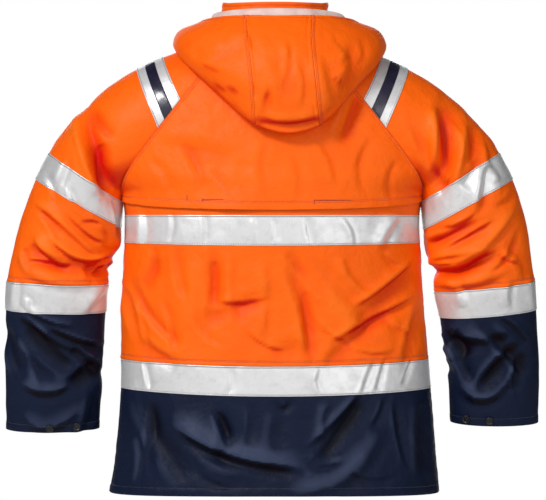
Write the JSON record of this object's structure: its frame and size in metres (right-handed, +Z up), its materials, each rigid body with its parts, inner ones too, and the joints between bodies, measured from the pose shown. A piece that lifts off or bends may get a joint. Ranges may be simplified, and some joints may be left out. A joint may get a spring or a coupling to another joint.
{
  "type": "hooded high-visibility jacket",
  "caption": "Hooded high-visibility work jacket in orange and navy coated cloth with reflective tapes, hollow as worn, hood dropped on the back.",
  "frame": {"origin": "middle of the neck opening at the height of the back neck seam", "axes": "+Z up through the neck, front of the jacket faces -Y, +X is the wearer's left"},
  "size_m": [0.9299, 0.3359, 0.8409],
  "materials": {
    "orange_cloth": "smooth coated cloth, satin",
    "navy_cloth": "smooth coated cloth, satin",
    "reflective_tape": "silver retroreflective cloth tape",
    "shoulder_band": "glossy coated band",
    "hood_lining": "plain woven backing",
    "snap_plastic": "moulded, black"
  },
  "bodies": {
    "root": {"back_yoke": "orange_cloth", "back_panel": "orange_cloth", "front_left": "orange_cloth", "front_right": "orange_cloth", "front_flap": "orange_cloth", "sleeve_left": "orange_cloth", "sleeve_right": "orange_cloth", "collar": "orange_cloth", "hood_centre": "orange_cloth", "hood_left": "orange_cloth", "hood_right": "orange_cloth", "back_skirt": "navy_cloth", "front_skirt_left": "navy_cloth", "front_skirt_right": "navy_cloth", "front_flap_skirt": "navy_cloth", "cuff_left": "navy_cloth", "cuff_right": "navy_cloth", "chest_tape_back": "reflective_tape", "chest_tape_left": "reflective_tape", "chest_tape_right": "reflective_tape", "chest_tape_flap": "reflective_tape", "waist_tape_back": "reflective_tape", "waist_tape_left": "reflective_tape", "waist_tape_right": "reflective_tape", "waist_tape_flap": "reflective_tape", "shoulder_tape_left": "reflective_tape", "shoulder_tape_right": "reflective_tape", "upper_arm_tape_left": "reflective_tape", "upper_arm_tape_right": "reflective_tape", "lower_arm_tape_left": "reflective_tape", "lower_arm_tape_right": "reflective_tape", "shoulder_band_left": "shoulder_band", "shoulder_band_right": "shoulder_band", "hood_lining": "hood_lining", "snap_left_1": "snap_plastic", "snap_left_2": "snap_plastic", "snap_right_1": "snap_plastic", "snap_right_2": "snap_plastic"}
  },
  "joints": []
}
